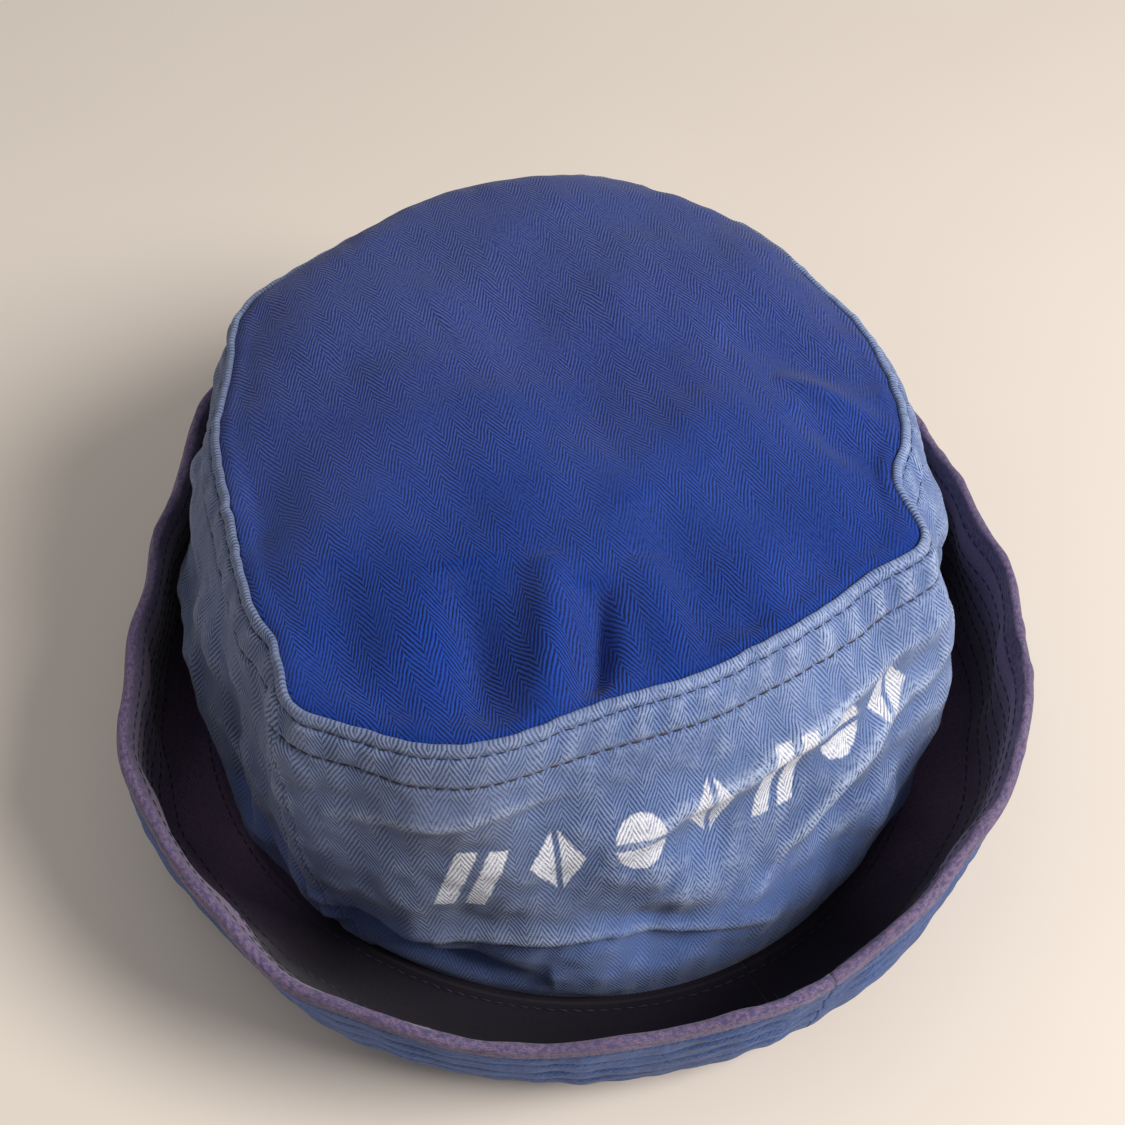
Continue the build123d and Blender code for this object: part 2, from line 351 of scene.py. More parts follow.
# Folds of the top: points as (x, y) in mm, then rise and the widths left and right of the line
TOP_FOLDS = (
    (((-56, -64), (-38, -50), (-26, -38)), -7.0, 5.0, 3.6),
    (((-62, -59), (-42, -40), (-29, -25)), 4.6, 5.0, 4.6),
    (((-73, -54), (-56, -30), (-45, -12)), -5.0, 6.0, 7.0),
    (((-84, -34), (-74, -10), (-62, 8)), -2.2, 7.0, 7.0),
    (((-30, -70), (-22, -54), (-14, -40)), 2.6, 5.0, 6.0),
    (((-12, -70), (-8, -50), (-2, -30)), -3.0, 8.0, 9.0),
    (((14, -70), (16, -52), (16, -34)), -1.6, 7.0, 8.0),
    (((62, -52), (56, -40), (50, -24)), 2.8, 3.0, 5.0),
    (((50, -62), (46, -48), (44, -34)), -3.0, 5.0, 5.0),
    (((70, -42), (60, -22), (50, -6)), -2.2, 7.0, 7.0),
    (((-44, 70), (-20, 52), (6, 44)), -2.0, 12.0, 12.0),
    (((20, 20), (52, 34), (80, 40)), 1.0, 18.0, 18.0),
    (((-10, -14), (10, 6), (34, 14)), -1.2, 18.0, 18.0),
)
TOP_RHO = np.concatenate([np.linspace(0.015, 0.84, 84), np.linspace(0.84, 1.0, 44)[1:]])
TOP_HARMONICS = 90
TUCK_ROWS = 6
TUCK_STEP = 1.2


def spread_inwards(rim, rho):
    """A ring of values spread over its inside as smoothly as a soap film."""
    terms = np.fft.rfft(rim, axis=0)[:TOP_HARMONICS]
    order = np.arange(len(terms))
    fall = rho[None, :] ** order[:, None]
    whole = np.zeros((len(rim) // 2 + 1, len(rho)), complex)
    whole[: len(terms)] = terms[:, None] * fall
    return np.fft.irfft(whole, n=len(rim), axis=0)


SIM_COLUMNS = 90
SIM_FRAMES = 24
SIM_SLACK = 0.035  # the share by which the top is cut larger than its place
SIM_REACH = 2.5  # the most the simulation may move the cloth, in mm


def fan_faces(columns, rows):
    """Faces of a closed ring grid, its first row fanned to one more vertex."""
    faces = []
    for i in range(columns):
        j = (i + 1) % columns
        faces.append((j * rows, i * rows, columns * rows))
        faces += [(i * rows + k, j * rows + k, j * rows + k + 1, i * rows + k + 1) for k in range(rows - 1)]
    return faces


def settle(points):
    """A cloth simulation of the top: sewn fast round its rim, cut a little large, sinking by its weight."""
    picked = np.unique(np.linspace(0, points.shape[1] - 1, 24).astype(int))
    coarse = points[:: COLUMNS // SIM_COLUMNS, picked]
    rows = len(picked)
    vertices = np.concatenate([coarse.reshape(-1, 3), [coarse[:, 0].mean(0)]]) * MM
    mesh = bpy.data.meshes.new("top_pattern")
    mesh.from_pydata(vertices.tolist(), [], fan_faces(SIM_COLUMNS, rows))
    pattern = put_in_scene("top_pattern", mesh)
    rim = pattern.vertex_groups.new(name="rim")
    rim.add([i * rows + k for i in range(SIM_COLUMNS) for k in (rows - 2, rows - 1)], 1.0, "REPLACE")
    cloth = pattern.modifiers.new("cloth", "CLOTH")
    cloth.settings.quality = 8
    cloth.settings.mass = 0.25
    cloth.settings.air_damping = 3.0
    cloth.settings.tension_stiffness = cloth.settings.compression_stiffness = 25.0
    cloth.settings.bending_stiffness = 0.35
    cloth.settings.shrink_min = -SIM_SLACK
    cloth.settings.vertex_group_mass = "rim"
    cloth.point_cache.frame_end = SIM_FRAMES
    for step in range(1, SIM_FRAMES + 1):
        bpy.context.scene.frame_set(step)
    done = pattern.evaluated_get(bpy.context.evaluated_depsgraph_get()).data
    settled = np.empty(len(done.vertices) * 3)
    done.vertices.foreach_get("co", settled)
    settled = settled.reshape(-1, 3)[:-1].reshape(SIM_COLUMNS, rows, 3) / MM
    bpy.context.scene.frame_set(1)
    bpy.data.objects.remove(pattern)
    drop = np.clip((settled - coarse)[..., 2], -SIM_REACH, SIM_REACH)
    drop = np.stack([np.interp(np.arange(points.shape[1]), picked, line) for line in drop])
    turns = np.arange(0, COLUMNS, COLUMNS // SIM_COLUMNS)
    drop = np.stack([np.interp(np.arange(COLUMNS), turns, line, period=COLUMNS) for line in drop.T], 1)
    return smoothed(drop, 20)


def crown_top_surface(side):
    """The top panel's outer face, its edge turned down inside the lapped fold of the side."""
    seam = side[:, -1]
    inward = CROWN_CENTRE - seam[:, :2]
    inward = np.concatenate([unit(inward), np.zeros((COLUMNS, 1))], 1)
    rim = seam + inward * (SIDE_CLOTH + 0.9) - np.array([0, 0, 1.3])
    points = np.stack([spread_inwards(rim[:, k], TOP_RHO) for k in range(3)], -1)
    theta = np.degrees(np.arctan2(rim[:, 1] - CROWN_CENTRE[1], rim[:, 0] - CROWN_CENTRE[0]))[:, None]
    rho = TOP_RHO[None, :]
    puff = 3.0 + 9.0 * hill((theta - 52 + 180) % 360 - 180, 0.0, 66, 4)
    rise = (HAT_TOP - SEAM_Z + 1.5) * (1 - rho**puff) * (1 - 0.10 * (1 - rho**2))
    x, y = points[..., 0], points[..., 1]
    near_edge = 1 - rho**14
    for line, size, left, right in TOP_FOLDS:
        rise = rise + crease(x, y, line, size, left, right) * near_edge
    rise = rise + (1.1 * soft_field(x, y, 51, 46.0) + 0.16 * soft_field(x, y, 53, 15.0)) * near_edge
    gather = ripple(DEG, 52, 20, 52)[:, None] * hill(1 - rho, 0.0, 0.10)
    rise = rise + 0.5 * gather * near_edge
    points = points + np.stack([0 * rise, 0 * rise, rise], -1)
    points[..., 2] += settle(points) * near_edge
    tuck = [
        rim - np.array([0, 0, 0.5 + TUCK_STEP * k]) + inward * min(0.35 * k, 0.6) for k in range(1, TUCK_ROWS)
    ]
    points = np.concatenate([points, np.stack(tuck, 1)], 1)
    return points, grid_normals(points), points * np.array([1.0, 1.0, 0.0])


# ---- brim

BRIM_SOLE = 6.5
BRIM_CLEARANCE = 3.6
SOLE_ROWS = 12
SLANT_ROWS = 130


def brim_profile():
    """The brim's outer face, from under the crown's foot, along the sole and up to the edge."""
    foot = foot_radius(DEG)
    edge_r, edge_z = brim_edge(DEG)
    start = np.stack([foot + BRIM_SOLE, 0 * foot], -1)
    end = np.stack([edge_r, edge_z], -1)
    lean = 0.75 * (edge_r - foot - 15.0) / edge_z
    length = np.linalg.norm(end - start, axis=-1)
    out = start + np.stack([0.40 * length, 0 * length], -1)
    top_way = unit(np.stack([lean, 1 + 0 * lean], -1))
    back = end - top_way * (0.40 * length)[:, None]
    s = np.linspace(0, 1, SLANT_ROWS)[None, :, None]
    curve = (
        (1 - s) ** 3 * start[:, None]
        + 3 * (1 - s) ** 2 * s * out[:, None]
        + 3 * (1 - s) * s**2 * back[:, None]
        + s**3 * end[:, None]
    )
    u = np.linspace(0, 1, SOLE_ROWS, endpoint=False)[None, :, None]
    inner = np.stack([foot - 1.0, 0 * foot], -1)
    sole = inner[:, None] * (1 - u) + start[:, None] * u
    profile = np.concatenate([sole, curve], 1)
    return polar(profile[..., 0], DEG[:, None], profile[..., 1])


def edge_distance(points):
    """Distance down the slant from the brim's edge, for every point."""
    total = length_so_far(points)
    return total[:, -1:] - total


def crown_reach(z):
    """The crown's radius from the hat's axis at every column's own angle, at the heights z."""
    side = crown_side_points()
    turn = np.degrees(np.arctan2(side[..., 1], side[..., 0])) % 360
    reach = np.hypot(side[..., 0], side[..., 1])
    rows = range(side.shape[1])
    wide = np.stack([np.interp(DEG, turn[:, k], reach[:, k], period=360) for k in rows], 1)
    high = np.stack([np.interp(DEG, turn[:, k], side[:, k, 2], period=360) for k in rows], 1)
    return np.stack([np.interp(z[i], high[i], wide[i]) for i in range(COLUMNS)])


def clear_of_crown(points):
    """The brim pushed out wherever it would come too near the leaning crown."""
    reach = np.hypot(points[..., 0], points[..., 1])
    wanted = crown_reach(points[..., 2]) + BRIM_THICK + BRIM_CLEARANCE
    short = wanted - reach
    push = 0.5 * (short + np.sqrt(short**2 + 4.0)) * np.clip((points[..., 2] - 3.0) / 14.0, 0, 1)
    return points * (1 + push / reach)[..., None] ** np.array([1, 1, 0])


def brim_shape():
    """The brim before its plies part: outer face, its normals, distance from the edge and freedom to fold."""
    base = clear_of_crown(brim_profile())
    away = edge_distance(base)
    up = np.clip((away.max(1, keepdims=True) - away - 14.0) / 16.0, 0, 1)
    big = 1.3 * ripple(DEG, 61, 5, 11)[:, None] * up * np.clip(away / 12, 0.4, 1)
    base = base + grid_normals(base) * big[..., None]
    return base, grid_normals(base), away, up


def ridge_rows(away):
    """1 on the puffed cloth between two rows of stitches and 0 in the rows."""
    phase = (away - BRIM_EDGE_ROW) / BRIM_ROW_STEP
    sewn = 1 / (1 + np.exp((away - BRIM_EDGE_ROW - (BRIM_ROWS - 1) * BRIM_ROW_STEP - 1.5) * 2))
    puff = np.abs(np.sin(math.pi * phase)) ** 0.6 * sewn * np.clip((away - 2.0) / 1.6, 0, 1)
    groove = np.exp(-(((phase - np.round(phase)) * BRIM_ROW_STEP / 0.6) ** 2)) * sewn
    return puff, groove


# ---- mesh making

def rim_points(a, b, way, steps=5):
    """Half a circle from edge a to edge b, bulging along way."""
    middle, half = (a + b) / 2, (a - b) / 2
    size = np.linalg.norm(half, axis=-1, keepdims=True)
    rows = []
    for k in range(1, steps):
        turn = math.pi * k / steps
        rows.append(middle + half * math.cos(turn) + way * size * math.sin(turn))
    return np.stack(rows, 1)


def wrap_section(outer, inner):
    """One closed section per column: up the outer face, over the edge and down the inner face."""
    high = rim_points(outer[:, -1], inner[:, -1], unit(outer[:, -1] - outer[:, -3]))
    low = rim_points(inner[:, 0], outer[:, 0], unit(outer[:, 0] - outer[:, 2]))
    return np.concatenate([outer, high, inner[:, ::-1], low], 1)


def wrap_field(values, rim):
    """The outer face's values repeated round its section."""
    last, first = np.repeat(values[:, -1:], rim, 1), np.repeat(values[:, :1], rim, 1)
    return np.concatenate([values, last, values[:, ::-1], first], 1)


def put_in_scene(name, data):
    thing = bpy.data.objects.new(name, data)
    bpy.context.scene.collection.objects.link(thing)
    return thing


def build_mesh(name, vertices, faces, fields, material):
    """A smooth mesh object in metres with its point fields, riding on the hat."""
    mesh = bpy.data.meshes.new(name)
    mesh.from_pydata((np.asarray(vertices) * MM).tolist(), [], faces)
    for key, values in fields.items():
        values = np.asarray(values, float)
        kind = "FLOAT_VECTOR" if values.ndim == 2 else "FLOAT"
        layer = mesh.attributes.new(key, kind, "POINT")
        layer.data.foreach_set("vector" if kind == "FLOAT_VECTOR" else "value", values.ravel())
    mesh.polygons.foreach_set("use_smooth", [True] * len(mesh.polygons))
    mesh.materials.append(material)
    mesh.update()
    piece = put_in_scene(name, mesh)
    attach(piece, "root")
    return piece


def section_faces(columns, rows):
    """Quads between neighbouring columns, and a cap on each end of the run."""
    faces = []
    for i in range(columns - 1):
        for k in range(rows):
            n = (k + 1) % rows
            faces.append((i * rows + k, (i + 1) * rows + k, (i + 1) * rows + n, i * rows + n))
    faces.append(tuple(range(rows)))
    faces.append(tuple((columns - 1) * rows + k for k in range(rows - 1, -1, -1)))
    return faces


def cloth_piece(node, outer, inner, cloth, wear, material, columns, flip=False, kind="cloth"):
    """A node's thin closed sheet of cloth between two faces, over a run of columns."""
    section = wrap_section(outer, inner)[columns]
    rim = (section.shape[1] - outer.shape[1] - inner.shape[1]) // 2
    fields = {"cloth": wrap_field(cloth, rim)[columns], "wear": wrap_field(wear, rim)[columns]}
    girth = 2 * math.pi * SIDE_GIRTH
    fields["cloth"][..., 0] = np.unwrap(fields["cloth"][..., 0], period=girth, axis=0)
    if flip:
        section = section[:, ::-1]
        fields = {key: values[:, ::-1] for key, values in fields.items()}
    count, rows = section.shape[:2]
    flat = {key: values.reshape((count * rows,) + values.shape[2:]) for key, values in fields.items()}
    faces = section_faces(count, rows)
    piece = build_mesh(f"{node}_{kind}", section.reshape(-1, 3), faces, flat, material)
    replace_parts(piece, node)


def run(start, end):
    """Column numbers from one angle to another, going up in angle."""
    first = int(round(start / 360.0 * COLUMNS))
    last = int(round(end / 360.0 * COLUMNS))
    return np.arange(first, last + 1) % COLUMNS


# ---- materials

def srgb(r, g, b):
    """A colour given as 0 to 255 screen values, made linear."""
    shares = (c / 255 for c in (r, g, b))
    return tuple(((c + 0.055) / 1.055) ** 2.4 if c > 0.04045 else c / 12.92 for c in shares) + (1.0,)


class Nodes:
    """Short ways to add shader nodes to one material."""

    def __init__(self, name):
        self.material = bpy.data.materials.new(name)
        self.material.use_nodes = True
        self.tree = self.material.node_tree
        self.shader = self.tree.nodes["Principled BSDF"]

    def add(self, kind, **settings):
        node = self.tree.nodes.new(kind)
        for key, value in settings.items():
            setattr(node, key, value)
        return node

    def put(self, value, socket):
        if isinstance(value, (int, float, tuple)):
            socket.default_value = value
        else:
            self.tree.links.new(value, socket)

    def math(self, operation, a, b=0.0, clamp=False):
        node = self.add("ShaderNodeMath", operation=operation, use_clamp=clamp)
        self.put(a, node.inputs[0])
        self.put(b, node.inputs[1])
        return node.outputs[0]

    def total(self, *values):
        return reduce(lambda a, b: self.math("ADD", a, b), values)

    def times(self, *values):
        return reduce(lambda a, b: self.math("MULTIPLY", a, b), values)

    def less(self, a, b):
        return self.math("SUBTRACT", a, b)

    def most(self, a, b):
        return self.math("MAXIMUM", a, b)

    def size(self, a):
        return self.math("ABSOLUTE", a)

    def split(self, vector):
        """The x and y of a vector."""
        node = self.add("ShaderNodeSeparateXYZ")
        self.put(vector, node.inputs[0])
        return node.outputs[:2]

    def shaken(self, vector, scale, detail, size):
        """A vector moved in its plane by noise."""
        noise = self.add("ShaderNodeTexNoise")
        self.put(vector, noise.inputs["Vector"])
        noise.inputs["Scale"].default_value = scale
        noise.inputs["Detail"].default_value = detail
        shift = self.add("ShaderNodeVectorMath", operation="MULTIPLY_ADD")
        for socket, value in zip(shift.inputs, (noise.outputs["Color"], (size, size, 0), vector)):
            self.put(value, socket)
        return shift.outputs[0]

    def mix(self, factor, a, b, blend="MIX"):
        node = self.add("ShaderNodeMix", data_type="RGBA", blend_type=blend)
        self.put(factor, node.inputs[0])
        self.put(a, node.inputs[6])
        self.put(b, node.inputs[7])
        return node.outputs[2]

    def field(self, name, output="Fac"):
        return self.add("ShaderNodeAttribute", attribute_name=name).outputs[output]

    def noise(self, vector, scale, detail=2.0, rough=0.5):
        node = self.add("ShaderNodeTexNoise")
        self.put(vector, node.inputs["Vector"])
        node.inputs["Scale"].default_value = scale
        node.inputs["Detail"].default_value = detail
        node.inputs["Roughness"].default_value = rough
        return node.outputs["Fac"]

    def ramp(self, value, low, high, to_low=0.0, to_high=1.0):
        node = self.add("ShaderNodeMapRange", interpolation_type="SMOOTHSTEP")
        for number, setting in enumerate((value, low, high, to_low, to_high)):
            self.put(setting, node.inputs[number])
        return node.outputs[0]

    def grey(self, value):
        node = self.add("ShaderNodeCombineColor")
        for socket in node.inputs[:3]:
            self.put(value, socket)
        return node.outputs[0]

    def bump(self, height, strength, distance):
        node = self.add("ShaderNodeBump")
        node.inputs["Strength"].default_value = strength
        node.inputs["Distance"].default_value = distance
        self.put(height, node.inputs["Height"])
        self.surface(Normal=node.outputs[0])

    def surface(self, **settings):
        """Values or sockets for the shader's inputs, with _ for a space in their names."""
        for name, value in settings.items():
            self.put(value, self.shader.inputs[name.replace("_", " ")])


def straight_grain(nodes, turn):
    """Cloth coordinates across and along the warp, in mm, with the slight drift of washed cloth."""
    cloth = nodes.field("cloth", "Vector")
    x, y = nodes.split(nodes.shaken(cloth, 0.07, 2.0, 2.4))
    c, s = math.cos(math.radians(turn)), math.sin(math.radians(turn))
    across = nodes.less(nodes.times(x, s), nodes.times(y, c))
    along = nodes.total(nodes.times(x, c), nodes.times(y, s))
    return cloth, across, along


def twill_line(nodes, cloth, across, along, stripe, pitch, lean):
    """Yarn lines of a herringbone, 0 in a groove and 1 on a yarn. A stripe of 0 gives plain twill."""
    c, s = math.cos(math.radians(lean)) / pitch, math.sin(math.radians(lean)) / pitch
    run_on = nodes.times(along, s)
    if stripe:
        rise = nodes.times(nodes.math("PINGPONG", across, stripe), c)
        turn = nodes.math("MODULO", nodes.math("FLOOR", nodes.math("DIVIDE", across, stripe)), 2.0)
        phase = nodes.total(rise, run_on, nodes.times(turn, 0.45))
    else:
        phase = nodes.total(nodes.times(across, c), run_on)
    jitter = nodes.times(nodes.noise(cloth, 0.55, 3.0, 0.6), 0.55)
    wave_out = nodes.math("SINE", nodes.times(nodes.total(phase, jitter), 2 * math.pi))
    strength = nodes.ramp(nodes.noise(cloth, 0.06, 3.0, 0.6), 0.30, 0.62, 0.20, 0.55)
    return nodes.total(nodes.times(wave_out, strength), 0.5)


class Weave(NamedTuple):
    """One cloth: its weave in mm and degrees, its yarn colours, its fading and its relief."""

    name: str
    groove: tuple
    yarn: tuple
    faded: tuple
    stripe: float = 0.0
    pitch: float = 0.8
    lean: float = 40.0
    turn: float = 90.0
    wear: float = 0.6
    fade: float = 0.25
    contrast: float = 1.0
    relief: float = 0.5
    nap: float = 0.08


def woven(weave, paint=None):
    """Washed twill: grooves and yarns, cross yarns, slow fading, nap, and wear along the raised creases."""
    nodes = Nodes(weave.name)
    cloth, across, along = straight_grain(nodes, weave.turn)
    line = twill_line(nodes, cloth, across, along, weave.stripe, weave.pitch, weave.lean)
    grain = nodes.noise(cloth, 2.4, 3.0, 0.65)
    speck = nodes.noise(cloth, 0.9, 4.0, 0.6)
    slow = nodes.noise(cloth, 0.030, 4.0, 0.55)
    patch = nodes.noise(cloth, 0.014, 3.0, 0.5)
    weft = nodes.math("SINE", nodes.times(along, 2 * math.pi / 0.42))
    level = nodes.total(
        nodes.times(line, 0.62 * weave.contrast),
        nodes.times(grain, 0.55),
        nodes.times(speck, 0.30),
        nodes.times(weft, 0.05),
    )
    shade = nodes.ramp(level, 0.30, 0.40 + 0.62 * weave.contrast)
    colour = nodes.mix(shade, srgb(*weave.groove), srgb(*weave.yarn))
    colour = nodes.mix(1.0, colour, nodes.grey(nodes.ramp(slow, 0.3, 0.7, 0.84, 1.16)), "MULTIPLY")
    scuffed = nodes.ramp(nodes.total(speck, nodes.times(line, 0.3 * weave.contrast)), 0.40, 0.78)
    worn = nodes.math("MULTIPLY", nodes.field("wear"), nodes.times(scuffed, weave.wear), True)
    fade = nodes.times(nodes.ramp(patch, 0.42, 0.68), weave.fade)
    colour = nodes.mix(nodes.math("ADD", worn, fade, True), colour, srgb(*weave.faded))
    if paint:
        colour = paint(nodes, cloth, line, grain, speck, colour)
    lift = nodes.total(nodes.times(line, weave.contrast), nodes.times(grain, 0.7), nodes.times(weft, 0.12))
    nodes.bump(lift, weave.relief, 0.00012)
    nodes.surface(Base_Color=colour, Roughness=nodes.ramp(grain, 0.2, 0.8, 0.82, 0.97))
    nodes.surface(Sheen_Weight=weave.nap, Sheen_Roughness=0.5, Specular_IOR_Level=0.15)
    return nodes.material


# Worn stencil marks: kind, place along the cloth, height, half width and half height in mm, and slant
MARKS = (
    ("bars", -54, 51, 5.8, 8.5, 0.45),
    ("lozenge", -34, 53, 6.6, 9.0, 0.0),
    ("disc", -14, 55, 6.6, 6.6, 0.0),
    ("lozenge", 5, 57, 6.6, 9.0, 0.0),
    ("bars", 25, 58, 5.8, 8.5, 0.35),
    ("disc", 44, 59, 6.6, 6.6, 0.0),
    ("lozenge", 61, 59, 6.6, 9.0, 0.0),
)


def stencil_paint_and_left_shade(nodes, cloth, line, grain, speck, under):
    """Bluer cloth near the foot; darker, greyer cloth towards the left, away from the key light, which is
    painted shade with a little fading; and stencilled paint worn off the grooves.
    """
    across, up = nodes.split(cloth)
    drift = nodes.times(nodes.noise(cloth, 0.05, 3.0, 0.6), 30.0)
    # painted shade with a little fading: the cloth darkened and greyed towards the left, the side turned from
    # the key light
    grey = nodes.ramp(nodes.total(across, drift), 20.0, -45.0, 0.0, 0.55)
    under = nodes.mix(grey, under, nodes.mix(line, srgb(48, 54, 74), srgb(100, 106, 128)))
    low = nodes.ramp(nodes.total(up, drift), 36.0, 50.0, 0.6, 0.0)
    under = nodes.mix(low, under, nodes.mix(grain, srgb(56, 82, 146), srgb(92, 120, 182)))
    x, y = nodes.split(nodes.shaken(cloth, 0.8, 2.0, 1.1))
    depth = None
    for kind, x0, y0, half_x, half_y, slant in MARKS:
        v = nodes.less(y, float(y0))
        u = nodes.less(nodes.less(x, float(x0)), nodes.times(v, slant))
        wide, tall = nodes.size(u), nodes.size(v)
        if kind == "bars":
            apart = nodes.size(nodes.less(wide, half_x * 0.6))
            gap = nodes.most(nodes.less(apart, half_x * 0.4), nodes.less(tall, half_y))
        elif kind == "lozenge":
            sides = nodes.total(nodes.math("DIVIDE", wide, half_x), nodes.math("DIVIDE", tall, half_y))
            gap = nodes.times(nodes.less(sides, 1.0), half_x * 0.8)
            gap = nodes.most(gap, nodes.less(0.7, wide))
        else:
            radius = nodes.math("SQRT", nodes.total(nodes.times(u, u), nodes.times(v, v)))
            gap = nodes.most(nodes.less(radius, half_x), nodes.less(0.8, tall))
        depth = gap if depth is None else nodes.math("MINIMUM", depth, gap)
    body = nodes.ramp(depth, -0.35, 0.25, 1.0, 0.0)
    hold = nodes.total(nodes.times(line, 0.55), nodes.times(grain, 0.7),
                       nodes.times(speck, 0.9))
    cover = nodes.times(body, nodes.ramp(hold, 0.75, 1.25, 0.30, 1.0))
    return nodes.mix(cover, under, srgb(214, 215, 222))


def top_fading(nodes, cloth, line, grain, speck, under):
    """The top's dye washed out towards its back and left, and kept deep along the front seam."""
    x, y = nodes.split(cloth)
    drift = nodes.times(nodes.noise(cloth, 0.035, 4.0, 0.6), 80.0)
    behind = nodes.total(x, y, nodes.times(y, 0.6), drift)
    washed = nodes.times(nodes.ramp(behind, -40.0, 170.0), nodes.ramp(speck, 0.30, 0.62, 0.45, 1.0))
    return nodes.mix(washed, under, nodes.mix(line, srgb(30, 38, 80), srgb(72, 86, 146)))


def painted_ditch_shade(nodes, cloth, line, grain, speck, under):
    """Painted shade: the upper ply darkened to a near-black navy down in the ditch, towards the front, where
    the crown shades it.
    """
    across, up = nodes.split(cloth)
    drift = nodes.times(nodes.noise(cloth, 0.05, 3.0, 0.6), 22.0)
    deep = nodes.ramp(nodes.total(up, drift), -46.0, -14.0, 0.0, 0.95)
    aside = nodes.size(nodes.total(across, 20.0))
    deep = nodes.times(deep, nodes.ramp(aside, 60.0, 120.0, 1.0, 0.0))
    return nodes.mix(deep, under, nodes.mix(grain, srgb(6, 5, 11), srgb(15, 14, 23)))


def thread_material(name, dark, light):
    """Twisted cotton thread."""
    nodes = Nodes(name)
    spot = nodes.add("ShaderNodeTexCoord").outputs["Object"]
    fuzz = nodes.noise(spot, 2500.0, 2.0, 0.6)
    tone = nodes.noise(spot, 90.0, 2.0, 0.5)
    colour = nodes.mix(fuzz, srgb(*dark), srgb(*light))
    colour = nodes.mix(1.0, colour, nodes.grey(nodes.ramp(tone, 0.3, 0.7, 0.7, 1.3)), "MULTIPLY")
    nodes.surface(Base_Color=colour, Roughness=nodes.ramp(fuzz, 0.2, 0.8, 0.65, 0.85))
    nodes.bump(fuzz, 0.6, 0.0001)
    return nodes.material


TOP_BLUE = Weave("royal_blue_herringbone", (3, 8, 34), (16, 58, 148), (70, 84, 138), 3.6, 0.78, 27.0, 64.0,
                 wear=0.30, fade=0.10, relief=0.8)
SIDE_BLUE = Weave("faded_blue_herringbone", (38, 54, 94), (104, 126, 174), (178, 190, 214), 3.9, 0.82, 32.0,
                  wear=0.7, fade=0.10, contrast=0.85, relief=0.7, nap=0.15)
BRIM_UPPER = Weave("purple_navy_twill", (70, 57, 78), (116, 98, 126), (74, 68, 100), wear=1.8, fade=0.15,
                   contrast=0.15, relief=0.35, nap=0.15)
BRIM_UNDER = Weave("washed_blue_twill", (28, 42, 82), (60, 80, 128), (104, 122, 166), wear=0.55, fade=0.25,
                   contrast=0.25)
CANVAS = Weave("undyed_canvas", (150, 142, 124), (196, 188, 170), (206, 200, 186), pitch=1.0, contrast=0.6)
BAND_CLOTH = Weave("dark_twill_band", (22, 27, 48), (58, 66, 96), (88, 94, 120), contrast=0.7)
TAPE_CLOTH = Weave("plain_blue_tape", (44, 54, 88), (92, 104, 140), (120, 130, 160), pitch=0.7, lean=50.0,
                   contrast=0.7)


# ---- stitches

STITCH_PITCH = 3.1
STITCH_GAP = 0.6
BRIM_THREAD = 0.19


def sample_row(points, normals, columns, rows):
    """Points and normals at fractional columns and rows of a ring grid."""
    c0 = np.floor(columns).astype(int)
    r0 = np.clip(np.floor(rows).astype(int), 0, points.shape[1] - 2)
    fc, fr = (columns - c0)[:, None], (rows - r0)[:, None]
    c0, c1 = c0 % COLUMNS, (c0 + 1) % COLUMNS

    def blend(grid):
        low = grid[c0, r0] * (1 - fc) + grid[c1, r0] * fc
        high = grid[c0, r0 + 1] * (1 - fc) + grid[c1, r0 + 1] * fc
        return low * (1 - fr) + high * fr

    return blend(points), unit(blend(normals))


def sew(node, paths, material, radius, seed, name=None):
    """A node's stitches along surface paths, each a short thread that dives into the cloth at both ends."""
    rng = np.random.default_rng(seed)
    vertices, faces = [], []
    rings, sides = 7, 7
    for line, normals in paths:
        far = length_so_far(line)
        count = max(int(far[-1] / STITCH_PITCH), 1)
        step = far[-1] / count
        for k in range(count):
            reach = step - STITCH_GAP * rng.uniform(0.7, 1.4)
            at = (k + 0.5 + rng.uniform(-0.04, 0.04)) * step + np.linspace(-0.5, 0.5, rings) * reach
            centre = np.stack([np.interp(at, far, line[:, i]) for i in range(3)], -1)
            up = unit(np.stack([np.interp(at, far, normals[:, i]) for i in range(3)], -1))
            side = unit(np.cross(unit(np.gradient(centre, axis=0)), up))
            hump = np.sin(np.linspace(0, math.pi, rings)) ** 0.6
            sway = np.linspace(-0.5, 0.5, rings) * rng.uniform(-0.25, 0.35)
            centre = centre + up * ((hump - 0.55) * radius * 1.3)[:, None] + side * sway[:, None]
            thick = radius * rng.uniform(0.9, 1.1) * (0.45 + 0.55 * hump)
            base = len(vertices)
            for i in range(rings):
                for j in range(sides):
                    turn = 2 * math.pi * j / sides
                    spoke = up[i] * math.cos(turn) + side[i] * math.sin(turn)
                    vertices.append(centre[i] + spoke * thick[i])
            for i in range(rings - 1):
                for j in range(sides):
                    n = (j + 1) % sides
                    low, high = base + i * sides, base + (i + 1) * sides
                    faces.append((low + j, low + n, high + n, high + j))
            faces.append(tuple(base + j for j in range(sides - 1, -1, -1)))
            faces.append(tuple(base + (rings - 1) * sides + j for j in range(sides)))
    name = name or node.replace("stitching", "stitches")
    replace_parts(build_mesh(name, np.array(vertices), faces, {}, material), node)


def ring_path(points, normals, rows):
    """The closed path round the hat at a row, which may differ from column to column."""
    rows = np.broadcast_to(np.asarray(rows, float), (COLUMNS,))
    return sample_row(points, normals, np.arange(COLUMNS + 1, dtype=float), np.concatenate([rows, rows[:1]]))


def rows_at(field, value):
    """The fractional row of every column where a field that falls along the rows reaches a value."""
    return np.array([np.interp(-value, -column, np.arange(len(column))) for column in field])


# ---- pieces

def surface_curve(points):
    """How far each point stands out from its neighbours, in tenths of a mm."""
    return ((points - smoothed(points, 12)) * grid_normals(points)).sum(-1) * 10


